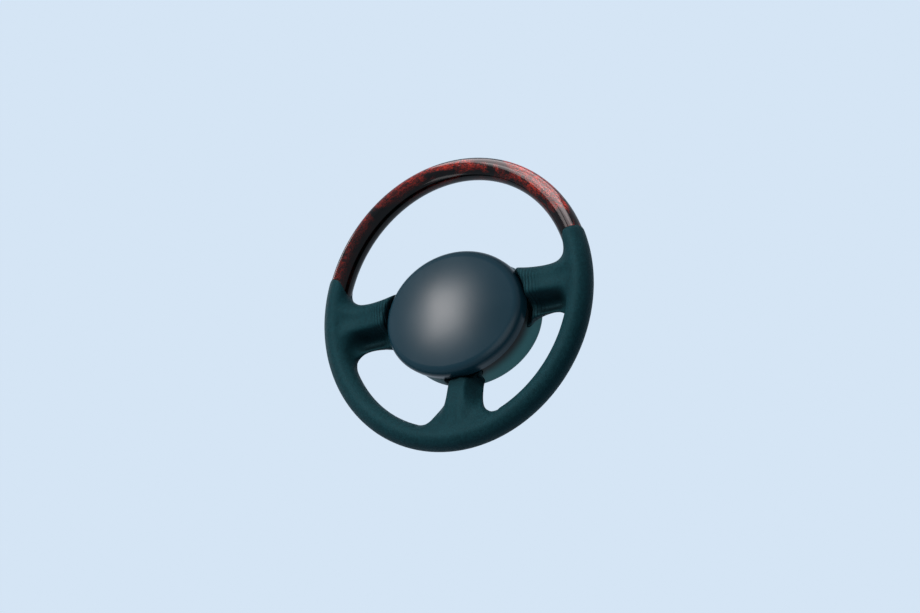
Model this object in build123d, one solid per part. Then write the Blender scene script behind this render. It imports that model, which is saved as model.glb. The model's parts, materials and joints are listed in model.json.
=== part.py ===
from build123d import *
import math
import os

# Car steering wheel with a wood and leather rim and a floating horn pad.
# Lengths in millimetres, angles in degrees. The wheel is drawn flat, with z = 0 in the middle of the
# rim, z pointing at the driver and y at twelve o'clock. It is stood up when it is written out.

# Rim
RIM_RADIUS = 175.0
GRIP_WIDTH = 31.0
GRIP_DEPTH = 34.5
WOOD_WIDTH = 28.0
WOOD_DEPTH = 32.5
WOOD_WALL = 4.5
LEATHER = 1.3
JOINT_OUTER_ANGLE = 19.0
JOINT_CORNER_ANGLE = 20.0
JOINT_CORNER_RADIUS = 170.0
JOINT_INNER_ANGLE = 11.5
JOINT_INNER_RADIUS = 158.0
JOINT_ROUND = 6.0
JOINT_GAP = 0.3
FAR = 260.0

# Rim core, a channel open to the rear
CORE_SIZE = 13.0
CORE_WALL = 3.5

# Pad, a domed oval
PAD_WIDTH = 194.0
PAD_HEIGHT = 160.0
PAD_DROP = 16.0
PAD_CROWN = 26.0
PAD_BALL = 330.0
PAD_BASE = -4.0
PAD_EDGE = 13.0
PAD_WALL = 3.0
PAD_LIP = 2.0
PAD_GAP = 1.6
TRAVEL = 2.0
REST = 1.0

# Side spokes, measured from the hub axis outwards
SIDE_START = 74.0
SPOKE_SHORT = 5.0
SIDE_END = RIM_RADIUS - SPOKE_SHORT
SIDE_FLARE = 120.0
HUB_FLARE = 92.0
SIDE_TOP = 25.5
SIDE_FOOT = 35.0
SIDE_CREASE = 10.0
TOP_FLARE = 16.0
FOOT_FLARE = 40.0
HUB_TOP_FLARE = 4.0
HUB_FOOT_FLARE = 7.0
SIDE_SWELL = 100.0
SIDE_FRONT = 4.0
SIDE_RISE = 11.0
SIDE_BACK = -37.0
SIDE_BACK_RISE = 23.0
SIDE_SCOOP = 9.0

# Bottom spoke
FOOT_START = 64.0
FOOT_BEND = 90.0
FOOT_FLARE_START = 112.0
FOOT_HALF = 25.5
FOOT_FLARE_HALF = 34.0
FOOT_RIDGE = 8.0
FOOT_FRONT = -2.0
FOOT_RISE = 16.5
FOOT_BACK = -34.0
FOOT_BACK_RISE = 24.0
FOOT_SCOOP = 6.0
FOOT_LIP_ABOVE = 2.5
FOOT_LIP_BELOW = 3.0
FOOT_LIP_SET_IN = 1.5

# Spoke sections: corner round, slight crown, powers of the curves, and shares of depth and width
ROUND = 9.0
CROWN = 0.7
FLARE_POWER = 3.0
NECK_POWER = 2.0
SWELL_POWER = 2.2
SIDE_EDGE_SHARE = 0.42
SIDE_LIP_SHARE = 0.62
FOOT_LIP_SHARE = 0.25
FOOT_HEEL_SHARE = 0.75
SCOOP_SHARE = 0.45
STATIONS = 7

# Opening in the middle of the spokes
HUB_WIDTH = 164.0
HUB_HEIGHT = 130.0

# Hub and armature
DISH = 62.0
BORE_RADIUS = 8.5
INSERT_RADIUS = 14.0
INSERT_FRONT = -38.0
INSERT_GROOVE = 1.5
INSERT_KEY = 5.0
NUT_RECESS = 17.5
EDGE_BREAK = 1.0
BOSS_RADIUS = 20.0
BOSS_REAR = -58.0
PLATE_FRONT = -30.0
PLATE_REAR = -36.0
PLATE_WIDTH = 144.0
PLATE_HEIGHT = 120.0
PLATE_DROP = 8.0
ARM_ROOT = 66.5
ARM_KNEE = 86.0
ARM_KNEE_LEVEL = -22.0
ARM_BEND = 114.0
ARM_BEND_LEVEL = -5.0
ARM_WIDTH = 22.0
ARM_THICK = 7.0
ARM_WEB = 4.0
ARM_BITE = 1.0

# Guide pins, springs and contacts
PIN_PLACES = ((58.0, -16.0), (-58.0, -16.0), (0.0, 42.0))
PIN_RADIUS = 4.0
PIN_NECK = 3.0
PIN_TIP = -42.0
PIN_COLLAR = 8.5
COLLAR_HEIGHT = 3.0
PIN_RIVET = 3.0
RUN_FIT = 0.08
BUSH_RADIUS = 6.0
BUSH_FLANGE = 9.5
BUSH_LIP = 2.0
CLIP_RADIUS = 7.5
CLIP_THICK = 1.2
CLIP_PLAY = 0.1
CLIP_MOUTH = 4.5
SPRING_RADIUS = 6.6
SPRING_WIRE = 0.9
SPRING_TURNS = 4
CONTACT_PLACES = ((44.0, 24.0), (-44.0, 24.0), (34.0, -50.0), (-34.0, -50.0))
CONTACT_RADIUS = 4.0
CONTACT_HEAD = 2.0
CONTACT_STEM = 2.2
CONTACT_TIP = -9.0
CONTACT_PLAY = 0.05
PILLAR_RADIUS = 7.0
BUTTON_HEIGHT = 4.0

# Module behind the pad
PLATE = 2.0
PLATE_FLANGE = 3.0
PLATE_CLEAR = 0.3
INFLATOR_RADIUS = 28.0
INFLATOR_FRONT = 14.0
INFLATOR_REAR = -18.0
FLANGE_RADIUS = 42.0
FLANGE = 2.0
INFLATOR_CLEAR = 0.4
INFLATOR_EDGE = 3.0
RING_INNER = 30.0
RING_THICK = 1.5
STUD_CIRCLE = 35.0
STUD_RADIUS = 3.0
STUD_CLEAR = 0.3
STUD_ANGLES = (45.0, 135.0, 225.0, 315.0)
STUD_TIP = -13.0
NUT_FLATS = 10.0
NUT_HEIGHT = 5.0
CUSHION_WIDTH = 156.0
CUSHION_HEIGHT = 124.0
CUSHION_CLEAR = 1.0
SOCKET_RADIUS = 9.0
SOCKET_DEPTH = 8.0
SOCKET_HOLE = 5.0
SOCKET_WALL = 2.0

# Rear cover, a bucket round the hub
COVER_FRONT = -10.0
COVER_FLARE = -42.0
COVER_REAR = -50.0
COVER_WALL = 2.5
COVER_INSET = 4.0
COVER_ROUND = 7.0
COVER_HOLE = 27.0
COVER_CLEAR = 0.8
SCREW_CIRCLE = 36.0
SCREW_ANGLES = (45.0, 135.0, 270.0)
SCREW_BOSS = 6.0
SCREW_HEAD = 4.2
SCREW_HEAD_HEIGHT = 2.6
SCREW_SHANK = 2.0
SCREW_LENGTH = 12.0
SCREW_CLEAR = 0.3

# Derived levels
POCKET_FLOOR = PAD_BASE - TRAVEL - REST
SHELF_FRONT = PAD_BASE + PAD_LIP + PLATE
SHELF_REAR = PAD_BASE + PAD_LIP
FLANGE_REAR = SHELF_REAR - FLANGE
RING_FRONT = SHELF_FRONT + RING_THICK
COLLAR_REAR = SHELF_REAR - COLLAR_HEIGHT
BUSH_FRONT = PLATE_FRONT + BUSH_LIP
BUTTON_FRONT = CONTACT_TIP - TRAVEL - CONTACT_PLAY
PILLAR_FRONT = BUTTON_FRONT - BUTTON_HEIGHT
CLIP_FRONT = PLATE_REAR - CLIP_PLAY
CLIP_REAR = CLIP_FRONT - CLIP_THICK

STAND = Rot(90, 0, 0) * Pos(0, 0, DISH)


def save(node, *solids):
    """Write one node, standing up, with the origin at the rear mouth of the bore."""
    placed = [STAND * solid for solid in solids]
    shape = placed[0] if len(placed) == 1 else Compound(children=placed)
    export_step(shape, f"parts/{node}.step")


def disc(radius, low, high):
    """Cylinder on the hub axis between two levels."""
    return Pos(0, 0, (low + high) / 2) * Cylinder(radius, high - low)


def polar(radius, angle):
    """Place on a circle round the hub axis."""
    turn = math.radians(angle)
    return Pos(radius * math.cos(turn), radius * math.sin(turn), 0)


def oval(width, height, low, high):
    """Upright block with the oval outline of the pad."""
    return extrude(Pos(0, -PAD_DROP, low) * Ellipse(width / 2, height / 2), high - low)


def at(places, solid):
    """Copies of a solid at a list of places."""
    return [Pos(x, y, 0) * solid for x, y in places]


def tube_ring(width, depth):
    """Ring of oval section round the hub axis."""
    return revolve(Plane.YZ * Pos(RIM_RADIUS, 0) * Ellipse(width / 2, depth / 2), Axis.Z)


def around(radius, angle):
    """Point on a circle round the hub axis."""
    turn = math.radians(angle)
    return (radius * math.cos(turn), radius * math.sin(turn))


def upper_sector(gap):
    """Everything above the two joints: leather ends in a rounded tongue beside the wood."""
    right = [
        around(JOINT_INNER_RADIUS - GRIP_WIDTH / 2, JOINT_INNER_ANGLE),
        around(JOINT_INNER_RADIUS, JOINT_INNER_ANGLE),
        around(JOINT_CORNER_RADIUS, JOINT_CORNER_ANGLE),
        around(FAR, JOINT_OUTER_ANGLE),
    ]
    right = [(x, y + gap) for x, y in right]
    left = [(-x, y) for x, y in reversed(right)]
    sill = right[0][1] + GRIP_WIDTH
    outline = make_face(Polyline(
        *right,
        (FAR, FAR),
        (-FAR, FAR),
        *left,
        (-RIM_RADIUS / 2, sill),
        (RIM_RADIUS / 2, sill),
        close=True,
    ))
    corners = outline.vertices().filter_by(lambda v: math.isclose(v.Y, right[2][1], abs_tol=0.01))
    return extrude(fillet(corners, JOINT_ROUND), GRIP_DEPTH, both=True)


def ease(value, power):
    """Zero before the start, then growing as a power up to one."""
    return min(max(value, 0.0), 1.0) ** power


def blend(first, last, share):
    return first + (last - first) * share


def inward(points, inset):
    """The same closed outline, moved in by an even distance."""
    moved = []
    for index, (across, level) in enumerate(points):
        before = points[index - 1]
        after = points[(index + 1) % len(points)]
        run, rise = after[0] - before[0], after[1] - before[1]
        length = math.hypot(run, rise)
        moved.append((across + inset * rise / length, level - inset * run / length))
    return moved


def side_section(x, inset):
    """Section of a side spoke: flat front, round top, thumb scoop underneath, thin lip."""
    run = (x - SIDE_START) / (SIDE_END - SIDE_START)
    flare = ease((x - SIDE_FLARE) / (SIDE_END - SIDE_FLARE), FLARE_POWER)
    neck = ease((SIDE_FLARE - x) / (SIDE_FLARE - HUB_FLARE), NECK_POWER)
    swell = ease((x - SIDE_SWELL) / (SIDE_END - SIDE_SWELL), SWELL_POWER)
    top = SIDE_TOP + TOP_FLARE * flare + HUB_TOP_FLARE * neck
    foot = -SIDE_FOOT - FOOT_FLARE * flare - HUB_FOOT_FLARE * neck
    front = SIDE_FRONT + SIDE_RISE * swell
    back = SIDE_BACK + SIDE_BACK_RISE * run
    crease = -SIDE_CREASE * (1 + flare)
    lip = blend(front, back, SIDE_LIP_SHARE)
    scoop = blend(front, lip, SCOOP_SHARE) - SIDE_SCOOP * (1 - flare)
    points = [
        (top / 3, front + CROWN / 2),
        (top - ROUND, front - CROWN),
        (top, blend(front, back, SIDE_EDGE_SHARE)),
        (top - ROUND, back + CROWN),
        (0, back),
        (foot + ROUND, back + CROWN),
        (foot, lip),
        (blend(crease, foot, SCOOP_SHARE), scoop),
        (crease, front - CROWN),
    ]
    section = Plane(origin=(x, 0, 0), x_dir=(0, 1, 0), z_dir=(1, 0, 0))
    return section * make_face(Spline(*inward(points, inset), periodic=True))


def foot_section(drop, inset):
    """Section of the bottom spoke: a narrow front ridge between two scoops."""
    swell = 1 - ease((SIDE_END - drop) / (SIDE_END - FOOT_BEND), FLARE_POWER)
    flare = ease((drop - FOOT_FLARE_START) / (SIDE_END - FOOT_FLARE_START), NECK_POWER)
    half = FOOT_HALF + FOOT_FLARE_HALF * flare
    front = FOOT_FRONT + FOOT_RISE * swell
    back = FOOT_BACK + FOOT_BACK_RISE * swell
    ridge = FOOT_RIDGE * (1 + flare)
    lip = blend(front, back, FOOT_LIP_SHARE)
    scoop = blend(front, lip, SCOOP_SHARE) - FOOT_SCOOP * (1 - flare)
    right = [
        (ridge, front - CROWN),
        (blend(ridge, half, SCOOP_SHARE), scoop),
        (half - FOOT_LIP_SET_IN, lip + FOOT_LIP_ABOVE),
        (half, lip - FOOT_LIP_BELOW),
        (half - ROUND, blend(lip, back, FOOT_HEEL_SHARE)),
    ]
    left = [(-x, z) for x, z in reversed(right)]
    points = [(0, front), *right, (0, back), *left]
    section = Plane(origin=(0, -drop, 0), x_dir=(1, 0, 0), z_dir=(0, -1, 0))
    return section * make_face(Spline(*inward(points, inset), periodic=True))


def stations(start, end):
    """Even places of the sections along a spoke."""
    return [blend(start, end, step / (STATIONS - 1)) for step in range(STATIONS)]


def spokes(inset):
    """Three spokes that flare into the rim, each skinned over a row of sections."""
    right = loft([side_section(x, inset) for x in stations(SIDE_START, SIDE_END)])
    foot = loft([foot_section(drop, inset) for drop in stations(FOOT_START, SIDE_END)])
    return right + mirror(right, Plane.YZ) + foot


def grip(inset):
    """Lower rim and spokes as one body, hollowed for the pad and for the hub."""
    ring = tube_ring(GRIP_WIDTH - 2 * inset, GRIP_DEPTH - 2 * inset) - upper_sector(0)
    wide = 2 * (PAD_GAP + inset)
    pocket = oval(PAD_WIDTH + wide, PAD_HEIGHT + wide, POCKET_FLOOR - inset, FAR)
    hub = oval(HUB_WIDTH, HUB_HEIGHT, -FAR, FAR)
    return ring + spokes(inset) - pocket - hub


def dome(inset, low):
    """Pad outline under a ball cap, with its upper edge rounded."""
    ball = Pos(0, -PAD_DROP, PAD_CROWN - PAD_BALL) * Rot(90, 0, 0) * Sphere(PAD_BALL - inset)
    block = oval(PAD_WIDTH - 2 * inset, PAD_HEIGHT - 2 * inset, low, FAR) & ball
    upper_edge = block.faces().sort_by(Axis.Z)[-1].outer_wire().edges()
    return fillet(upper_edge, PAD_EDGE - inset)


def bucket_oval(level, inset):
    """Outline of the rear cover at one level."""
    return Pos(0, -PAD_DROP, level) * Ellipse(PAD_WIDTH / 2 - inset, PAD_HEIGHT / 2 - inset)


def bucket(inset):
    """Oval wall that flares to the rear, then a flat back."""
    wall = loft([bucket_oval(COVER_FLARE, inset), bucket_oval(COVER_FRONT, COVER_INSET + inset)])
    rear = COVER_REAR + inset
    return wall + extrude(bucket_oval(rear, inset), COVER_FLARE - rear)


os.makedirs("parts", exist_ok=True)

# Armature: channel round the rim, three sloping arms, hub plate with boss
half = CORE_SIZE / 2
channel = Pos(RIM_RADIUS, 0) * Rectangle(CORE_SIZE, CORE_SIZE)
channel -= Pos(RIM_RADIUS, -CORE_WALL) * Rectangle(CORE_SIZE - 2 * CORE_WALL, CORE_SIZE)
core = revolve(Plane.YZ * channel, Axis.Z)
arm_reach = RIM_RADIUS - half + ARM_BITE
arm_line = [
    (ARM_ROOT, PLATE_FRONT - ARM_THICK / 2),
    (ARM_KNEE, ARM_KNEE_LEVEL),
    (ARM_BEND, ARM_BEND_LEVEL),
    (arm_reach, 0),
]
arm_front = [(x, z + ARM_THICK / 2) for x, z in arm_line]
arm_rear = [(x, z - ARM_THICK / 2) for x, z in arm_line]
arm_side = make_face(Polyline(*arm_front, *reversed(arm_rear), close=True))
arm = extrude(Plane.XZ * arm_side, ARM_WIDTH / 2, both=True)
groove_front = [(x, z - ARM_WEB) for x, z in arm_front[1:]]
groove_rear = [(x, z - ARM_THICK) for x, z in arm_rear[1:]]
groove_side = make_face(Polyline(*groove_front, *reversed(groove_rear), close=True))
arm -= extrude(Plane.XZ * groove_side, ARM_WIDTH / 2 - ARM_WEB, both=True)
plate_outline = Pos(0, -PLATE_DROP, PLATE_REAR) * Ellipse(PLATE_WIDTH / 2, PLATE_HEIGHT / 2)
armature = core + extrude(plate_outline, PLATE_FRONT - PLATE_REAR)
armature += disc(BOSS_RADIUS, BOSS_REAR, PLATE_FRONT)
for angle in (0, 180, 270):
    armature += Rot(0, 0, angle) * arm
insert = disc(INSERT_RADIUS, -DISH, INSERT_FRONT)
key_low = (INSERT_FRONT + BOSS_REAR - INSERT_KEY) / 2
key = disc(INSERT_RADIUS, key_low, key_low + INSERT_KEY)
insert -= key - disc(INSERT_RADIUS - INSERT_GROOVE, key_low, key_low + INSERT_KEY)
armature -= insert + disc(BORE_RADIUS, -DISH, FAR) + disc(NUT_RECESS, INSERT_FRONT, FAR)
for hole in at(PIN_PLACES, disc(BUSH_RADIUS, PLATE_REAR, PLATE_FRONT)):
    armature -= hole
boss_rear = COVER_REAR + COVER_WALL
for angle in SCREW_ANGLES:
    armature += polar(SCREW_CIRCLE, angle) * disc(SCREW_BOSS, boss_rear, PLATE_FRONT)
    hole = disc(SCREW_SHANK, COVER_REAR, COVER_REAR + SCREW_LENGTH)
    armature -= polar(SCREW_CIRCLE, angle) * hole
save("armature", armature)

# Steel insert with the column bore, keyed into the casting by a groove
insert -= disc(BORE_RADIUS, -DISH, FAR)
rear_edges = insert.edges().filter_by(GeomType.CIRCLE).group_by(Axis.Z)[0]
save("hub_insert", chamfer(rear_edges.sort_by(SortBy.RADIUS)[-1], EDGE_BREAK))

# Foam, leather and wood
foam_body = grip(LEATHER)
leather = grip(0) - foam_body
save("leather_cover", leather)
wood_core = tube_ring(WOOD_WIDTH - 2 * WOOD_WALL, WOOD_DEPTH - 2 * WOOD_WALL)
foam = foam_body + (wood_core & upper_sector(0)) - armature
save("rim_foam", foam)
wood = (tube_ring(WOOD_WIDTH, WOOD_DEPTH) - wood_core) & upper_sector(JOINT_GAP)
front_side = Pos(0, 0, FAR / 2) * Box(2 * FAR, 2 * FAR, FAR)
save("wood_front", wood & front_side)
save("wood_rear", wood - front_side)

# Pad cover: an oval block capped by a ball, hollow, with a lip that holds the plate
lip_inset = 2 * PAD_WALL
mouth = oval(PAD_WIDTH - 2 * lip_inset, PAD_HEIGHT - 2 * lip_inset, PAD_BASE, FAR)
cover = dome(0, PAD_BASE) - dome(PAD_WALL, SHELF_REAR) - (mouth & disc(FAR, PAD_BASE, SHELF_REAR))
save("pad_cover", cover)

# Module plate: stamped dish with holes for inflator, studs, pins and contacts
edge = 2 * (PAD_WALL + PLATE_CLEAR)
plate = oval(PAD_WIDTH - edge, PAD_HEIGHT - edge, SHELF_REAR, SHELF_FRONT + PLATE_FLANGE)
edge += 2 * PLATE
plate -= oval(PAD_WIDTH - edge, PAD_HEIGHT - edge, SHELF_FRONT, FAR)
module = Pos(0, -PAD_DROP, 0)
studs = [module * polar(STUD_CIRCLE, angle) for angle in STUD_ANGLES]
plate -= module * disc(INFLATOR_RADIUS + INFLATOR_CLEAR, -FAR, FAR)
for place in studs:
    plate -= place * disc(STUD_RADIUS + STUD_CLEAR, -FAR, FAR)
for hole in at(PIN_PLACES, disc(PIN_RIVET, -FAR, FAR)):
    plate -= hole
for hole in at(CONTACT_PLACES, disc(CONTACT_STEM, -FAR, FAR)):
    plate -= hole
save("module_plate", plate)

# Retainer ring, studs and nuts
ring = module * (disc(FLANGE_RADIUS, SHELF_FRONT, RING_FRONT) - disc(RING_INNER, -FAR, FAR))
for place in studs:
    ring -= place * disc(STUD_RADIUS, -FAR, FAR)
save("retainer_ring", ring)
save("ring_studs", *[place * disc(STUD_RADIUS, STUD_TIP, RING_FRONT) for place in studs])
hexagon = RegularPolygon(NUT_FLATS / 2, 6, major_radius=False)
nut = extrude(Pos(0, 0, FLANGE_REAR - NUT_HEIGHT) * hexagon, NUT_HEIGHT)
nut -= disc(STUD_RADIUS, -FAR, FAR)
save("stud_nuts", *[place * nut for place in studs])

# Folded cushion over the inflator
roof = Pos(0, -PAD_DROP, PAD_CROWN - PAD_BALL) * Sphere(PAD_BALL - PAD_WALL - CUSHION_CLEAR)
cushion = oval(CUSHION_WIDTH, CUSHION_HEIGHT, RING_FRONT, FAR) & roof
cushion -= module * disc(INFLATOR_RADIUS + CUSHION_CLEAR, -FAR, INFLATOR_FRONT + CUSHION_CLEAR)
save("cushion", cushion)

# Inflator with its flange, and the igniter socket sunk in its back
inflator = module * disc(INFLATOR_RADIUS, INFLATOR_REAR, INFLATOR_FRONT)
inflator = chamfer(inflator.edges().filter_by(GeomType.CIRCLE), INFLATOR_EDGE)
inflator += module * disc(FLANGE_RADIUS, FLANGE_REAR, SHELF_REAR)
for place in studs:
    inflator -= place * disc(STUD_RADIUS + STUD_CLEAR, -FAR, FAR)
socket = module * disc(SOCKET_RADIUS, INFLATOR_REAR, INFLATOR_REAR + SOCKET_DEPTH)
save("inflator", inflator - socket)
socket_floor = INFLATOR_REAR + SOCKET_DEPTH - SOCKET_WALL
save("igniter_socket", socket - module * disc(SOCKET_HOLE, -FAR, socket_floor))

# Guide pins: riveted through the plate, with a collar for the spring and a neck for the clip
pin = disc(PIN_RADIUS, PIN_TIP, COLLAR_REAR)
pin -= disc(PIN_RADIUS, CLIP_REAR, CLIP_FRONT) - disc(PIN_NECK, CLIP_REAR, CLIP_FRONT)
pin = chamfer(pin.edges().filter_by(GeomType.CIRCLE).sort_by(Axis.Z)[0], EDGE_BREAK)
pin += disc(PIN_COLLAR, COLLAR_REAR, SHELF_REAR) + disc(PIN_RIVET, SHELF_REAR, SHELF_FRONT)
save("guide_pins", *at(PIN_PLACES, pin))
clip = disc(CLIP_RADIUS, CLIP_REAR, CLIP_FRONT) - disc(PIN_NECK, -FAR, FAR)
clip -= Pos(0, -CLIP_RADIUS, CLIP_FRONT) * Box(CLIP_MOUTH, 2 * CLIP_RADIUS, 2 * CLIP_THICK)
save("pin_clips", *at(PIN_PLACES, clip))
bush = disc(BUSH_RADIUS, PLATE_REAR, PLATE_FRONT) + disc(BUSH_FLANGE, PLATE_FRONT, BUSH_FRONT)
bush -= disc(PIN_RADIUS + RUN_FIT, -FAR, FAR)
save("guide_bushes", *at(PIN_PLACES, bush))

# Coil springs of six-sided wire between collar and bush
coil_height = COLLAR_REAR - BUSH_FRONT - 2 * SPRING_WIRE
coil = Helix(coil_height / SPRING_TURNS, coil_height, SPRING_RADIUS)
wire = Plane(origin=coil @ 0, z_dir=coil % 0) * RegularPolygon(SPRING_WIRE, 6)
spring = Pos(0, 0, BUSH_FRONT + SPRING_WIRE) * sweep(wire, path=coil, is_frenet=True)
save("horn_springs", *at(PIN_PLACES, spring))

# Horn contacts: rivets under the plate over buttons on insulating pillars
rivet = disc(CONTACT_STEM, CONTACT_TIP + CONTACT_HEAD, SHELF_FRONT)
rivet += disc(CONTACT_RADIUS, CONTACT_TIP, CONTACT_TIP + CONTACT_HEAD)
save("moving_contacts", *at(CONTACT_PLACES, rivet))
save("fixed_contacts", *at(CONTACT_PLACES, disc(CONTACT_RADIUS, PILLAR_FRONT, BUTTON_FRONT)))
save("contact_pillars", *at(CONTACT_PLACES, disc(PILLAR_RADIUS, PLATE_FRONT, PILLAR_FRONT)))

# Rear cover: flared bucket, notched for the spokes, screwed to the hub plate
outside = bucket(0)
outside = fillet(outside.edges().group_by(Axis.Z)[0], COVER_ROUND)
inside = bucket(COVER_WALL)
inside = chamfer(inside.edges().group_by(Axis.Z)[0], COVER_ROUND - COVER_WALL)
shell = outside - inside
shell -= disc(COVER_HOLE, -FAR, FAR)
shell -= spokes(-COVER_CLEAR)
for angle in SCREW_ANGLES:
    shell -= polar(SCREW_CIRCLE, angle) * disc(SCREW_SHANK + SCREW_CLEAR, -FAR, FAR)
save("rear_cover", shell)

screw = disc(SCREW_HEAD, COVER_REAR - SCREW_HEAD_HEIGHT, COVER_REAR)
screw = chamfer(screw.edges().filter_by(GeomType.CIRCLE).sort_by(Axis.Z)[0], EDGE_BREAK)
screw += disc(SCREW_SHANK, COVER_REAR, COVER_REAR + SCREW_LENGTH)
save("cover_screws", *[polar(SCREW_CIRCLE, angle) * screw for angle in SCREW_ANGLES])
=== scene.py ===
import json
import math

import bpy
from mathutils import Matrix, Vector
from mathutils.bvhtree import BVHTree


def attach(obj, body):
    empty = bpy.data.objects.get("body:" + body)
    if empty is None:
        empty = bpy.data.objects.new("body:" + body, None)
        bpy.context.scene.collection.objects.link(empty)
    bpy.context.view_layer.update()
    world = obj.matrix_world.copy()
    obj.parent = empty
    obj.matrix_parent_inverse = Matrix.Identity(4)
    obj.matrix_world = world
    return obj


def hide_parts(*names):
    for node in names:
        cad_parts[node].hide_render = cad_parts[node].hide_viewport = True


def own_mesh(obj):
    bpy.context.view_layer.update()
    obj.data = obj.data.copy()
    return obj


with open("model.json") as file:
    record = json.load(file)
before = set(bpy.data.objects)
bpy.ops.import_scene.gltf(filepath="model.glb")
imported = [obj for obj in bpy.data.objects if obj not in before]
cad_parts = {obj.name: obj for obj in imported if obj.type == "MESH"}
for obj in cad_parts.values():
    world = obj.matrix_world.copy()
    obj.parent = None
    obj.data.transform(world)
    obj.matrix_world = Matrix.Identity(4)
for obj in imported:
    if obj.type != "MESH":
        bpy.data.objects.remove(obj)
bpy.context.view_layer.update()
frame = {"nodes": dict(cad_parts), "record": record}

nodes = frame["nodes"]

# Lengths are in metres. Seen from the front, X runs right and Z up; Y runs from the pad to the
# column.

# Camera, fitted to the wheel's outline in the photograph; angles in degrees
PICTURE_WIDTH = 920
RIM_CENTRE = Vector((0.0, -0.062, 0.0))
AZIMUTH = 29.36
ELEVATION = -19.46
ROLL = 1.73
DISTANCE = 4.0
SENSOR = 36.0
LENS = 125.9
SHIFT_RIGHT_PIXELS = 3.61
SHIFT_DOWN_PIXELS = 3.55

# Stage
BACKDROP = (0.665, 0.783, 0.913, 1.0)
AMBIENT_COLOUR = (0.75, 0.88, 1.0, 1.0)
AMBIENT = 0.14
FLOOR_COLOUR = (0.30, 0.36, 0.42, 1.0)
FLOOR_GLOW = 0.8
FLOOR_LEVEL = -1.8
FLOOR_SIZE = 80.0

# Leather finish
LEATHER_DARK = (0.0085, 0.042, 0.052, 1.0)
LEATHER_LIGHT = (0.0125, 0.054, 0.066, 1.0)
LEATHER_PORE = (0.004, 0.022, 0.026, 1.0)
LEATHER_SHEEN = (0.35, 0.85, 1.0, 1.0)
LEATHER_FINE_SHARE = 0.35
# Painted shade: near-black colour laid into hollows and gaps, and into the rear cover's gap behind
# the pad
SHADE = (0.0010, 0.0030, 0.0040, 1.0)

# Creases of the leather beside the pad: how far out and how high they reach, and their lines, which
# are darkened with painted shade
CREASE_SHADE_COLOUR = (0.002, 0.008, 0.010, 1.0)
CREASE_SHADE_STRENGTH = 0.9
CREASE_PITCH = 0.0042
CREASE_WANDER = 0.0035
CREASE_BACK = -0.045
CREASE_FULL_OUT = 0.100
CREASE_GONE_OUT = 0.125
CREASE_MIDDLE_DROP = 0.012
CREASE_FULL_HALF = 0.022
CREASE_GONE_HALF = 0.042

# Wood finish: figure and the joint line between the two shells, with painted shade that darkens the
# left half, most on its inner side
WOOD_BLACK = (0.005, 0.0015, 0.0015, 1.0)
WOOD_BROWN = (0.033, 0.0035, 0.002, 1.0)
WOOD_RED = (0.160, 0.011, 0.0055, 1.0)
WOOD_BRIGHT = (0.240, 0.024, 0.0085, 1.0)
WOOD_DRAWN_ALONG = 0.09
WOOD_LEFT_SHADE_INNER = 0.180
WOOD_LEFT_SHADE_OUTER = 0.198
WOOD_JOINT = -0.062
WOOD_JOINT_HALF = 0.0006
WOOD_JOINT_COLOUR = (0.001, 0.0008, 0.0008, 1.0)

# Pad and rear cover finishes
PAD_DARK = (0.0038, 0.022, 0.034, 1.0)
PAD_LIGHT = (0.0062, 0.027, 0.041, 1.0)
COVER_DARK = (0.014, 0.062, 0.070, 1.0)
COVER_LIGHT = (0.019, 0.076, 0.086, 1.0)
# How far along Y the rear cover's painted shade behind the pad reaches
COVER_SHADE_FROM = -0.050
COVER_SHADE_TO = -0.030

# Where a noise is taken as lowest and highest, and how far it moves a finish's roughness
NOISE_LOW = 0.3
NOISE_HIGH = 0.7
MOULDED_SPREAD = 0.06
METAL_SPREAD = 0.08

# Places of the factor and the two colours among a Mix node's inputs, and of its colour output
MIX_FACTOR, MIX_FIRST, MIX_LAST, MIX_COLOUR = 0, 6, 7, 2

# Leather skin
MERGE_WITHIN = 1e-5
SMOOTH_UP_TO = math.radians(30.0)
SMOOTHING = 0.5
LEATHER_WALL_SEEN = 0.00025
INNER_WALL_FACING = 0.3
SKIN_VOXEL = 0.0014
SKIN_PASSES = 4
SKIN_OVER_FOAM = 0.0006
CORNER_ROUND = 0.014
SWOLLEN_VOXEL = 0.002
SWOLLEN_PASSES = 4
CARVED_PASSES = 8
FRONT_OF_ALL = -0.3

# The pad's oval, and the skin round it: edges are shares of that oval
PAD_OVAL = (0.097, 0.080)
PAD_MIDDLE_DROP = 0.016
POCKET_EDGE = 1.012
POCKET_LEVEL = -0.0554
CARVE_FROM = 1.020
CARVE_FULL = 1.055
ROUND_FROM = 1.05
ROUND_FULL = 1.22

# Raised shoulder of a side spoke beside the pad, and the thumb hollow in its face
SIDE_SPOKE_FOOT = -0.060
SIDE_SPOKE_ROOT = 0.060
SIDE_SPOKE_BACK = -0.036
SHOULDER_LIFT = 0.007
SHOULDER_FROM = 0.098
SHOULDER_TO = 0.150
HOLLOW_DEEP = 0.008
HOLLOW_START = 0.100
HOLLOW_FULL = 0.116
HOLLOW_FADE = 0.138
HOLLOW_END = 0.158
HOLLOW_TOP = -0.009
HOLLOW_LOW = -0.037

# Bottom spoke: flat face, round shoulders and steep flanks
FOOT_FACE = -0.060
FOOT_FACE_RISE = -0.0165
FOOT_REAR = -0.030
FOOT_SWELL_FROM = 0.090
FOOT_END = 0.170
FOOT_HALF = 0.0255
FOOT_FLARE_FROM = 0.112
FOOT_FLARE = 0.034
FOOT_FLAT_SHARE = 0.42
FOOT_FLANK = 0.025
FOOT_FLANK_ROUND = 0.75
FOOT_TOP = 0.094
FOOT_FULL = 0.100
FOOT_FADE = 0.114
FOOT_LOW = 0.160


# Shader nodes

def put(tree, kind, settings=None, **sockets):
    """Add a shader node. Settings are its properties, the rest its input sockets by name."""
    made = tree.nodes.new("ShaderNode" + kind)
    for name, value in (settings or {}).items():
        setattr(made, name, value)
    for name, value in sockets.items():
        plug(tree, made.inputs[name.replace("_", " ")], value)
    return made


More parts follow.
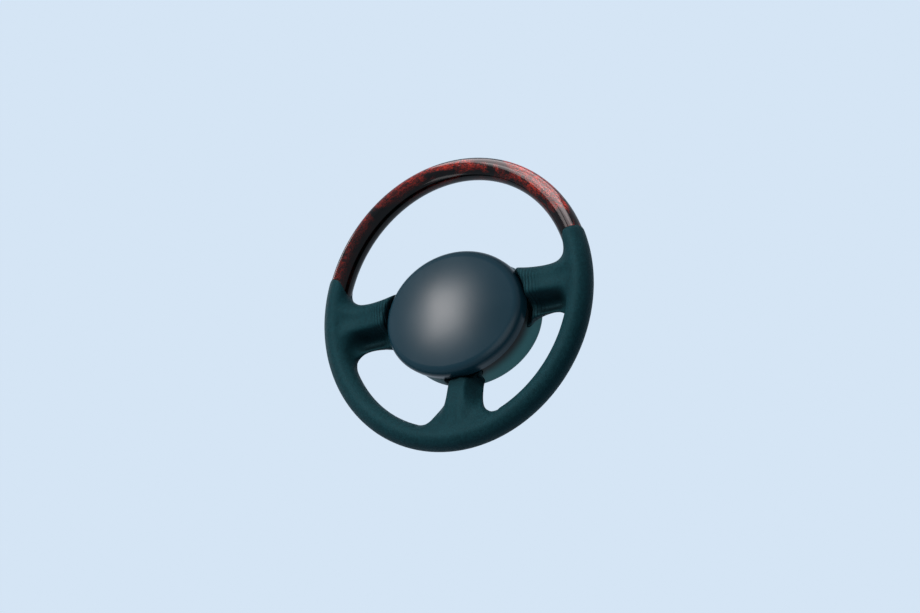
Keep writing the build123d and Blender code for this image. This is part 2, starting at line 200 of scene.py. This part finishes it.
def plug(tree, socket, value):
    """Link a socket to another, or set its value."""
    if isinstance(value, bpy.types.NodeSocket):
        tree.links.new(value, socket)
    else:
        socket.default_value = value


def new_tree(name):
    """An empty material, and its node tree."""
    material = bpy.data.materials.new(name)
    material.use_nodes = True
    material.node_tree.nodes.clear()
    return material, material.node_tree


def mix_colour(tree, factor, first, last, kind="MIX"):
    """Blend two colours; each may be a socket or a colour."""
    made = put(tree, "Mix", {"data_type": "RGBA", "blend_type": kind})
    plug(tree, made.inputs[MIX_FACTOR], factor)
    plug(tree, made.inputs[MIX_FIRST], first)
    plug(tree, made.inputs[MIX_LAST], last)
    return made.outputs[MIX_COLOUR]


def math_node(tree, operation, first, last=0.0):
    """One sum on two values; each may be a socket or a number."""
    made = put(tree, "Math", {"operation": operation})
    plug(tree, made.inputs[0], first)
    plug(tree, made.inputs[1], last)
    return made.outputs[0]


def ramp(tree, value, *stops):
    """Colour ramp with (place, colour) stops."""
    made = put(tree, "ValToRGB", Fac=value)
    band = made.color_ramp
    while len(band.elements) < len(stops):
        band.elements.new(0.5)
    for element, (place_on_band, colour) in zip(band.elements, stops):
        element.position = place_on_band
        element.color = colour
    return made.outputs["Color"]


def rise(tree, value, start, end, low=0.0, high=1.0):
    """A grey that goes from low to high as the value goes from start to end."""
    return ramp(tree, value, (start, (low, low, low, 1.0)), (end, (high, high, high, 1.0)))


def clouded(tree, value, dark, light):
    """A colour that wanders between two with a noise."""
    return ramp(tree, value, (NOISE_LOW, dark), (NOISE_HIGH, light))


def dulled(tree, value, smooth, rough):
    """A roughness that wanders between two with a noise."""
    return rise(tree, value, NOISE_LOW, NOISE_HIGH, smooth, rough)


def along_length(tree, length, start, end, kind="SMOOTHSTEP"):
    """Zero at the start and one at the end of a stretch in metres."""
    made = put(tree, "MapRange", {"interpolation_type": kind}, Value=length, From_Min=start,
               From_Max=end)
    return made.outputs[0]


def place(tree):
    """Object coordinates, in metres."""
    return put(tree, "TexCoord").outputs["Object"]


def noise(tree, where, scale, detail, rough=0.5, distortion=0.0):
    """Soft noise, its scale in waves per metre."""
    made = put(tree, "TexNoise", Vector=where, Scale=scale, Detail=detail, Roughness=rough,
               Distortion=distortion)
    return made.outputs["Fac"]


def hollow(tree, reach, shut, clear):
    """One on open faces, falling to zero deep in hollows and gaps: the factor that lays painted
    shade there.
    """
    seen = put(tree, "AmbientOcclusion", {"samples": 8}, Distance=reach)
    return rise(tree, seen.outputs["AO"], shut, clear)


def close_tree(tree, shader):
    """Lead a shader to the material's surface."""
    tree.links.new(shader.outputs[0], put(tree, "OutputMaterial").inputs["Surface"])


def finished(tree, colour, rough, bump, **sockets):
    """The surface shader of a finish, with its colour, roughness and bump."""
    close_tree(tree, put(tree, "BsdfPrincipled", Base_Color=colour, Roughness=rough,
                         Normal=bump.outputs[0], **sockets))


# Finishes

def creases(tree, where):
    """Fine upright creases in the leather of the side spokes, beside the pad."""
    apart = put(tree, "SeparateXYZ", Vector=where)
    out = math_node(tree, "ABSOLUTE", apart.outputs["X"])
    wave = noise(tree, where, scale=70.0, detail=2.0)
    bent = math_node(tree, "ADD", out, math_node(tree, "MULTIPLY", wave, CREASE_WANDER))
    turn = math_node(tree, "MULTIPLY", bent, math.tau / CREASE_PITCH)
    lines = rise(tree, math_node(tree, "SINE", turn), start=0.55, end=0.98)
    beside = along_length(tree, out, CREASE_GONE_OUT, CREASE_FULL_OUT, "LINEAR")
    height = math_node(tree, "ADD", apart.outputs["Z"], CREASE_MIDDLE_DROP)
    height = math_node(tree, "ABSOLUTE", height)
    within = along_length(tree, height, CREASE_GONE_HALF, CREASE_FULL_HALF, "LINEAR")
    front = math_node(tree, "LESS_THAN", apart.outputs["Y"], CREASE_BACK)
    held = math_node(tree, "MULTIPLY", beside, math_node(tree, "MULTIPLY", within, front))
    return math_node(tree, "MULTIPLY", lines, held)


def leather():
    """Dark green leather with a fine pebble grain and a satin face."""
    material, tree = new_tree("leather")
    where = place(tree)
    cells = put(tree, "TexVoronoi", {"feature": "DISTANCE_TO_EDGE"}, Vector=where, Scale=700.0)
    fine = noise(tree, where, scale=420.0, detail=3.0)
    mottle = noise(tree, where, scale=210.0, detail=3.0)
    cloud = noise(tree, where, scale=18.0, detail=3.0)
    pebble = rise(tree, cells.outputs["Distance"], start=0.0, end=0.22)
    folds = creases(tree, where)

    colour = clouded(tree, cloud, LEATHER_DARK, LEATHER_LIGHT)
    colour = mix_colour(tree, pebble, LEATHER_PORE, colour)
    spots = rise(tree, mottle, start=0.35, end=0.65, low=0.72)
    colour = mix_colour(tree, 1.0, colour, spots, "MULTIPLY")
    # Painted shade: the leather's colour falls to SHADE in hollows and gaps
    clear = hollow(tree, reach=0.04, shut=0.50, clear=0.95)
    colour = mix_colour(tree, clear, SHADE, colour)
    # Painted shade: the crease lines are darkened in colour
    crease_shade = math_node(tree, "MULTIPLY", folds, CREASE_SHADE_STRENGTH)
    colour = mix_colour(tree, crease_shade, colour, CREASE_SHADE_COLOUR)

    grain = put(tree, "Bump", Strength=0.35, Distance=0.0003,
                Height=mix_colour(tree, LEATHER_FINE_SHARE, pebble, fine))
    bump = put(tree, "Bump", {"invert": True}, Strength=0.8, Distance=0.0012, Height=folds,
               Normal=grain.outputs[0])
    finished(tree, colour, dulled(tree, mottle, smooth=0.52, rough=0.64), bump,
             Specular_IOR_Level=0.13, Specular_Tint=LEATHER_SHEEN)
    return material


def wood():
    """Dark red burl under a clear lacquer, its figure drawn out along the rim."""
    material, tree = new_tree("wood")
    where = place(tree)
    apart = put(tree, "SeparateXYZ", Vector=where)
    angle = math_node(tree, "ARCTAN2", apart.outputs["Z"], apart.outputs["X"])
    radius = put(tree, "VectorMath", {"operation": "LENGTH"}, Vector=where).outputs["Value"]
    along = math_node(tree, "MULTIPLY", angle, WOOD_DRAWN_ALONG)
    drawn = put(tree, "CombineXYZ", X=along, Y=apart.outputs["Y"], Z=radius).outputs[0]
    patch = noise(tree, drawn, scale=38.0, detail=4.0, rough=0.55, distortion=1.0)
    figure = noise(tree, drawn, scale=200.0, detail=8.0, rough=0.62, distortion=2.2)
    pores = noise(tree, drawn, scale=900.0, detail=3.0)

    burl = ramp(tree, figure, (0.32, WOOD_BLACK), (0.46, WOOD_BROWN), (0.58, WOOD_RED),
                (0.74, WOOD_BRIGHT))
    patches = rise(tree, patch, start=0.44, end=0.58, low=0.02)
    colour = mix_colour(tree, 1.0, burl, patches, "MULTIPLY")
    # Painted shade: the left half of the rim is darkened, deepest towards its inner edge
    left = rise(tree, math_node(tree, "DIVIDE", angle, math.pi), start=0.50, end=0.66)
    outside = along_length(tree, radius, WOOD_LEFT_SHADE_INNER, WOOD_LEFT_SHADE_OUTER)
    painted_left_shade = rise(tree, outside, start=0.0, end=1.0, low=0.04, high=0.55)
    painted_left_shade = mix_colour(tree, left, (1.0, 1.0, 1.0, 1.0), painted_left_shade)
    colour = mix_colour(tree, 1.0, colour, painted_left_shade, "MULTIPLY")
    from_joint = math_node(tree, "SUBTRACT", apart.outputs["Y"], WOOD_JOINT)
    from_joint = math_node(tree, "ABSOLUTE", from_joint)
    joint = math_node(tree, "LESS_THAN", from_joint, WOOD_JOINT_HALF)
    colour = mix_colour(tree, joint, colour, WOOD_JOINT_COLOUR)

    bump = put(tree, "Bump", Strength=0.04, Distance=0.0001, Height=pores)
    finished(tree, colour, rough=0.45, bump=bump, Specular_IOR_Level=0.0,
             Coat_Weight=0.55, Coat_Roughness=0.12, Coat_IOR=1.4)
    return material


def pad_skin():
    """Smooth slate plastic with a satin face."""
    material, tree = new_tree("pad_skin")
    where = place(tree)
    fine = noise(tree, where, scale=1400.0, detail=2.0)
    cloud = noise(tree, where, scale=14.0, detail=3.0)
    bump = put(tree, "Bump", Strength=0.08, Distance=0.0001, Height=fine)
    finished(tree, clouded(tree, cloud, PAD_DARK, PAD_LIGHT),
             dulled(tree, cloud, smooth=0.28, rough=0.33), bump, Specular_IOR_Level=0.16)
    return material


def cover_plastic():
    """Grained green plastic of the rear cover, with painted shade in its hollows and in the gap
    behind the pad.
    """
    material, tree = new_tree("cover_plastic")
    where = place(tree)
    fine = noise(tree, where, scale=1100.0, detail=3.0)
    cloud = noise(tree, where, scale=30.0, detail=4.0)
    colour = clouded(tree, cloud, COVER_DARK, COVER_LIGHT)
    # Painted shade: the cover's colour falls to SHADE in hollows and gaps
    clear = hollow(tree, reach=0.035, shut=0.45, clear=0.85)
    colour = mix_colour(tree, clear, SHADE, colour)
    # Painted shade: the cover's front edge, in the gap behind the pad, falls to SHADE
    back = put(tree, "SeparateXYZ", Vector=where).outputs["Y"]
    gap_shade = along_length(tree, back, COVER_SHADE_FROM, COVER_SHADE_TO)
    colour = mix_colour(tree, gap_shade, SHADE, colour)
    bump = put(tree, "Bump", Strength=0.15, Distance=0.0002, Height=fine)
    finished(tree, colour, dulled(tree, fine, smooth=0.54, rough=0.66), bump,
             Specular_IOR_Level=0.2)
    return material


def moulded(name, dark, light, rough, grain=1100.0, strength=0.15):
    """Plain moulded plastic, foam or cloth with a fine even grain."""
    material, tree = new_tree(name)
    where = place(tree)
    fine = noise(tree, where, scale=grain, detail=3.0)
    cloud = noise(tree, where, scale=30.0, detail=4.0)
    bump = put(tree, "Bump", Strength=strength, Distance=0.0002, Height=fine)
    finished(tree, clouded(tree, cloud, (*dark, 1.0), (*light, 1.0)),
             dulled(tree, fine, rough - MOULDED_SPREAD, rough + MOULDED_SPREAD), bump)
    return material


def metal(name, dark, light, rough, grain=500.0, strength=0.08):
    """Bare or plated metal with fine marks."""
    material, tree = new_tree(name)
    where = place(tree)
    fine = noise(tree, where, scale=grain, detail=5.0)
    cloud = noise(tree, where, scale=60.0, detail=3.0)
    bump = put(tree, "Bump", Strength=strength, Distance=0.0001, Height=fine)
    finished(tree, clouded(tree, cloud, (*dark, 1.0), (*light, 1.0)),
             dulled(tree, fine, rough - METAL_SPREAD, rough + METAL_SPREAD), bump, Metallic=1.0)
    return material


# Modelling

def copied(name, source):
    """A new piece that starts as a merged copy of a CAD node."""
    bpy.ops.object.select_all(action="DESELECT")
    piece = bpy.data.objects.new(name, nodes[source].data.copy())
    bpy.context.collection.objects.link(piece)
    piece.select_set(True)
    bpy.context.view_layer.objects.active = piece
    bpy.ops.object.mode_set(mode="EDIT")
    bpy.ops.mesh.select_all(action="SELECT")
    bpy.ops.mesh.remove_doubles(threshold=MERGE_WITHIN)
    bpy.ops.mesh.select_all(action="DESELECT")
    bpy.ops.object.mode_set(mode="OBJECT")
    return piece


def apply_modifier(piece, kind, **settings):
    """Add a modifier to the active piece and apply it."""
    added = piece.modifiers.new(kind.lower(), kind)
    for name, value in settings.items():
        setattr(added, name, value)
    bpy.ops.object.modifier_apply(modifier=added.name)


def smoothed(piece, passes):
    """Even out a piece's faces."""
    apply_modifier(piece, "SMOOTH", factor=SMOOTHING, iterations=passes)


def faces_of(mesh):
    """A search tree over a mesh's faces."""
    return BVHTree.FromPolygons([v.co for v in mesh.vertices], [p.vertices for p in mesh.polygons])


def solid_grip(name):
    """The leather's outer face as one closed piece: inner wall taken out, ends capped."""
    piece = copied(name, "leather_cover")
    core = faces_of(nodes["rim_foam"].data)
    on_core = []
    for vertex in piece.data.vertices:
        _, _, _, gap = core.find_nearest(vertex.co)
        on_core.append(gap < LEATHER_WALL_SEEN)
    for face in piece.data.polygons:
        _, outwards, _, _ = core.find_nearest(face.center)
        inner = outwards.dot(face.normal) < INNER_WALL_FACING
        face.select = inner and all(on_core[i] for i in face.vertices)
    bpy.ops.object.mode_set(mode="EDIT")
    bpy.ops.mesh.select_mode(type="FACE")
    bpy.ops.mesh.delete(type="FACE")
    bpy.ops.mesh.select_mode(type="EDGE")
    bpy.ops.mesh.select_all(action="DESELECT")
    bpy.ops.mesh.select_non_manifold(extend=False, use_wire=False, use_multi_face=False,
                                     use_non_contiguous=False, use_verts=False)
    bpy.ops.mesh.edge_face_add()
    bpy.ops.mesh.select_all(action="DESELECT")
    bpy.ops.object.mode_set(mode="OBJECT")
    return piece


def rounded_grip(skin):
    """A copy of the skin with its hollow corners filled to a wide round: swollen, then drawn in."""
    bpy.ops.object.duplicate()
    soft = bpy.context.object
    apply_modifier(soft, "DISPLACE", strength=CORNER_ROUND, mid_level=0.0)
    apply_modifier(soft, "REMESH", mode="VOXEL", voxel_size=SWOLLEN_VOXEL)
    smoothed(soft, SWOLLEN_PASSES)
    apply_modifier(soft, "DISPLACE", strength=-CORNER_ROUND, mid_level=0.0)
    smoothed(soft, SWOLLEN_PASSES)
    bpy.ops.object.select_all(action="DESELECT")
    skin.select_set(True)
    bpy.context.view_layer.objects.active = skin
    return soft


def within_one(value):
    """The value, kept between zero and one."""
    return min(max(value, 0.0), 1.0)


def soft_step(start, end, value):
    """Zero at the start, one at the end, smooth between them."""
    share = within_one((value - start) / (end - start))
    return share * share * (3 - 2 * share)


def pad_reach(x, z):
    """Distance from the pad's middle as a share of its oval."""
    return math.hypot(x / PAD_OVAL[0], (z + PAD_MIDDLE_DROP) / PAD_OVAL[1])


def foot_face(x, drop):
    """The bottom spoke's face at a place: its level, how far it holds there, and the rear level."""
    swell = 1 - within_one((FOOT_END - drop) / (FOOT_END - FOOT_SWELL_FROM)) ** 3
    flared = max(drop - FOOT_FLARE_FROM, 0.0) / (FOOT_END - FOOT_FLARE_FROM)
    half = FOOT_HALF + FOOT_FLARE * flared ** 2
    flat = half * FOOT_FLAT_SHARE
    straight_fall = within_one((x - flat) / (half - flat))
    round_fall = soft_step(flat, half, x)
    fall = FOOT_FLANK_ROUND * round_fall + (1 - FOOT_FLANK_ROUND) * straight_fall
    rise_here = FOOT_FACE_RISE * swell
    holds = soft_step(FOOT_TOP, FOOT_FULL, drop) * soft_step(FOOT_LOW, FOOT_FADE, drop)
    return FOOT_FACE + rise_here + FOOT_FLANK * fall, holds, FOOT_REAR + rise_here


def side_move(x, z):
    """How far a side spoke's face goes back at a place: thumb hollow less raised shoulder."""
    along = soft_step(HOLLOW_START, HOLLOW_FULL, x) * soft_step(HOLLOW_END, HOLLOW_FADE, x)
    across = within_one((z - HOLLOW_LOW) / (HOLLOW_TOP - HOLLOW_LOW))
    dip = math.sin(math.pi * across) ** 2
    return HOLLOW_DEEP * along * dip - SHOULDER_LIFT * soft_step(SHOULDER_TO, SHOULDER_FROM, x)


def carve(skin, core):
    """Shape the spokes' front faces, and the foam under them, column by column."""
    front = faces_of(skin.data)
    rearwards = Vector((0.0, 1.0, 0.0))
    for piece in (skin, core):
        for vertex in piece.data.vertices:
            x, y, z = abs(vertex.co.x), vertex.co.y, vertex.co.z
            hit = front.ray_cast(Vector((vertex.co.x, FRONT_OF_ALL, z)), rearwards)[0]
            if hit is None:
                continue
            if x < FOOT_HALF + FOOT_FLARE and FOOT_TOP < -z < FOOT_LOW:
                level, holds, rear = foot_face(x, -z)
                move = (level - hit.y) * holds
            elif x > SIDE_SPOKE_ROOT and z > SIDE_SPOKE_FOOT:
                move, rear = side_move(x, z), SIDE_SPOKE_BACK
            else:
                continue
            move *= soft_step(CARVE_FROM, CARVE_FULL, pad_reach(x, z))
            if piece is core:
                move = max(move, 0.0)
            if hit.y < rear and y < rear:
                vertex.co.y += move * min((rear - y) / (rear - hit.y), 1.0)


def finish_piece(piece, body, node, slot):
    """Give a new piece its finish and its body, in the place of a CAD node."""
    piece.data.materials.clear()
    piece.data.materials.append(finishes[slot])
    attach(piece, body)
    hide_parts(node)


def leather_skin():
    """Leather pulled over the rim and spokes, soft where a spoke runs into the rim."""
    core = copied("foam_core", "rim_foam")
    bpy.ops.object.shade_smooth_by_angle(angle=SMOOTH_UP_TO)
    skin = solid_grip("leather_skin")
    apply_modifier(skin, "REMESH", mode="VOXEL", voxel_size=SKIN_VOXEL)
    soft = rounded_grip(skin)
    away = skin.vertex_groups.new(name="away_from_pad")
    for vertex in skin.data.vertices:
        reach = pad_reach(vertex.co.x, vertex.co.z)
        away.add([vertex.index], soft_step(ROUND_FROM, ROUND_FULL, reach), "REPLACE")
    apply_modifier(skin, "SHRINKWRAP", target=soft, vertex_group="away_from_pad")
    bpy.data.objects.remove(soft)
    smoothed(skin, SKIN_PASSES)
    carve(skin, core)
    smoothed(skin, CARVED_PASSES)
    apply_modifier(skin, "SHRINKWRAP", target=core, wrap_mode="OUTSIDE", offset=SKIN_OVER_FOAM)
    for vertex in skin.data.vertices:
        if pad_reach(vertex.co.x, vertex.co.z) < POCKET_EDGE:
            vertex.co.y = max(vertex.co.y, POCKET_LEVEL)
    bpy.ops.object.shade_smooth()
    finish_piece(skin, "wheel", "leather_cover", "leather")
    finish_piece(core, "wheel", "rim_foam", "foam")


def coil_springs():
    """The horn springs between the plate and the bushes, carried with the pad on a mesh of their
    own.
    """
    springs = copied("coil_springs", "horn_springs")
    bpy.ops.object.shade_smooth_by_angle(angle=SMOOTH_UP_TO)
    finish_piece(springs, "horn_pad", "horn_springs", "spring_steel")
    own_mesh(springs)


# Stage

def shown_to(tree):
    """One for what the camera sees, in reflections and through clear pieces too."""
    path = put(tree, "LightPath").outputs
    direct = math_node(tree, "MAXIMUM", path["Is Camera Ray"], path["Is Transmission Ray"])
    return math_node(tree, "MAXIMUM", direct, path["Is Glossy Ray"])


def mixed(tree, factor, first, last):
    """Two shaders blended."""
    both = put(tree, "MixShader", Fac=factor)
    tree.links.new(first.outputs[0], both.inputs[1])
    tree.links.new(last.outputs[0], both.inputs[2])
    return both


def pale_floor():
    """Backdrop colour to the camera, a plain matt floor to the light."""
    material, tree = new_tree("floor")
    seen = math_node(tree, "MULTIPLY", shown_to(tree), FLOOR_GLOW)
    matt = put(tree, "BsdfDiffuse", Color=FLOOR_COLOUR)
    shown = put(tree, "Emission", Color=BACKDROP, Strength=1.0)
    close_tree(tree, mixed(tree, seen, matt, shown))
    return material


def floor():
    """A wide pale floor, well below the wheel."""
    bpy.ops.object.select_all(action="DESELECT")
    bpy.ops.mesh.primitive_plane_add(size=FLOOR_SIZE, location=(0, 0, FLOOR_LEVEL))
    ground = bpy.context.object
    ground.name = "floor"
    ground.data.materials.append(pale_floor())


def surroundings():
    """Pale blue backdrop for the camera, dim surroundings for the light."""
    world = bpy.data.worlds.new("surroundings")
    bpy.context.scene.world = world
    world.use_nodes = True
    sky = world.node_tree
    sky.nodes.clear()
    page = put(sky, "Background", Color=BACKDROP, Strength=1.0)
    painted_left_shade = put(sky, "Background", Color=AMBIENT_COLOUR, Strength=AMBIENT)
    both = mixed(sky, shown_to(sky), painted_left_shade, page)
    sky.links.new(both.outputs[0], put(sky, "OutputWorld").inputs["Surface"])


def photo_camera():
    """The camera at the photograph's viewing angle, looking at the middle of the rim."""
    turn, tilt = math.radians(AZIMUTH), math.radians(ELEVATION)
    back = Vector((math.sin(turn) * math.cos(tilt), -math.cos(turn) * math.cos(tilt),
                   math.sin(tilt)))
    right = Vector((math.cos(turn), math.sin(turn), 0.0))
    up = back.cross(right)
    lens = bpy.data.cameras.new("camera")
    lens.sensor_width = SENSOR
    lens.lens = LENS
    lens.shift_x = SHIFT_RIGHT_PIXELS / PICTURE_WIDTH
    lens.shift_y = -SHIFT_DOWN_PIXELS / PICTURE_WIDTH
    camera = bpy.data.objects.new("camera", lens)
    bpy.context.collection.objects.link(camera)
    facing = Matrix((right, up, back)).transposed()
    roll = Matrix.Rotation(math.radians(-ROLL), 3, back)
    stand = Matrix.Translation(RIM_CENTRE + back * DISTANCE)
    camera.matrix_world = stand @ (roll @ facing).to_4x4()
    bpy.context.scene.camera = camera


def softbox(name, where, size, power, colour=(1.0, 1.0, 1.0), only=(), spare=()):
    """A soft lamp, placed from the middle of the rim and turned to it.

    It lights only the nodes named in only, or spares those named in spare.
    """
    lamp = bpy.data.lights.new(name, "AREA")
    lamp.shape = "RECTANGLE"
    lamp.size, lamp.size_y = size
    lamp.energy = power
    lamp.color = colour
    stand = bpy.data.objects.new(name, lamp)
    bpy.context.collection.objects.link(stand)
    stand.location = RIM_CENTRE + Vector(where)
    stand.rotation_euler = (-Vector(where)).to_track_quat("-Z", "Y").to_euler()
    stand.visible_camera = False
    if only or spare:
        lit = bpy.data.collections.new(name + "_link")
        stand.light_linking.receiver_collection = lit
        for node in only or spare:
            lit.objects.link(nodes[node])
        for member in lit.collection_objects:
            member.light_linking.link_state = "INCLUDE" if only else "EXCLUDE"
    return stand


def lamps():
    """Soft studio light: the whole wheel first, then lamps of its single pieces."""
    shells = ("wood_front", "wood_rear")
    softbox("key", (-0.50, -2.15, 1.10), size=(1.0, 0.8), power=56.0,
            spare=("pad_cover", "rear_cover", *shells))
    softbox("pad_key", (-1.20, -2.05, 0.80), size=(0.8, 0.95), power=72.0,
            colour=(1.0, 0.95, 0.94), only=("pad_cover",))
    softbox("pad_fill", (1.1, -1.5, -1.0), size=(1.9, 1.9), power=18.0, only=("pad_cover",))
    softbox("overhead", (0.45, -0.35, 1.9), size=(1.9, 1.5), power=14.0,
            spare=("pad_cover", *shells))
    softbox("lacquer_sky", (0.1, -0.33, 1.9), size=(2.1, 2.5), power=105.0,
            colour=(1.0, 0.88, 0.89), only=shells)
    softbox("lacquer_front", (-0.25, -1.75, 1.60), size=(1.1, 1.4), power=39.0,
            colour=(1.0, 0.90, 0.90), only=shells)
    softbox("lacquer_right", (0.90, -1.00, 1.60), size=(1.5, 2.0), power=75.0,
            colour=(1.0, 0.88, 0.90), only=shells)
    softbox("lacquer_foot", (-0.9, -0.7, -1.7), size=(1.0, 0.6), power=6.0, only=shells)
    softbox("streak", (-2.2, 0.1, 1.1), size=(0.25, 1.0), power=8.0)
    rear_key = softbox("rear_key", (-1.0, 1.8, 0.8), size=(1.3, 1.3), power=60.0,
                       spare=("pad_cover", *shells))
    rear_key.visible_glossy = False
    softbox("rear_glint", (0.5, 2.0, 1.0), size=(1.2, 1.2), power=30.0,
            only=("hub_insert", "cover_screws"))
    softbox("cover_fill", (1.3, -1.7, -1.2), size=(0.6, 0.6), power=48.0, only=("rear_cover",))


# Every CAD node gets the finish of its material slot
finishes = {
    "leather": leather(),
    "wood": wood(),
    "pad_skin": pad_skin(),
    "cover_plastic": cover_plastic(),
    "foam": moulded("foam", dark=(0.010, 0.011, 0.011), light=(0.020, 0.021, 0.021), rough=0.85,
                    grain=600.0, strength=0.4),
    "nylon": moulded("nylon", dark=(0.62, 0.60, 0.52), light=(0.72, 0.70, 0.62), rough=0.40),
    "socket_plastic": moulded("socket_plastic", dark=(0.50, 0.32, 0.02), light=(0.62, 0.42, 0.04),
                              rough=0.42),
    "cushion_cloth": moulded("cushion_cloth", dark=(0.66, 0.65, 0.60), light=(0.78, 0.77, 0.72),
                             rough=0.90, grain=1500.0, strength=0.5),
    "cast_alloy": metal("cast_alloy", dark=(0.42, 0.42, 0.41), light=(0.56, 0.56, 0.55), rough=0.55,
                        grain=700.0, strength=0.35),
    "steel": metal("steel", dark=(0.40, 0.40, 0.41), light=(0.54, 0.54, 0.55), rough=0.34),
    "screw_steel": metal("screw_steel", dark=(0.46, 0.46, 0.44), light=(0.60, 0.60, 0.57),
                         rough=0.30),
    "zinc_steel": metal("zinc_steel", dark=(0.44, 0.45, 0.41), light=(0.58, 0.58, 0.52),
                        rough=0.38),
    "spring_steel": metal("spring_steel", dark=(0.28, 0.28, 0.29), light=(0.40, 0.40, 0.41),
                          rough=0.32),
    "brass": metal("brass", dark=(0.52, 0.32, 0.09), light=(0.68, 0.45, 0.15), rough=0.28),
}
for part in frame["record"]["subparts"]:
    slots = nodes[part["node"]].data.materials
    slots.clear()
    slots.append(finishes[part["material_slot"]])

leather_skin()
coil_springs()
photo_camera()
lamps()
surroundings()
floor()

bpy.context.scene.view_settings.view_transform = "Standard"
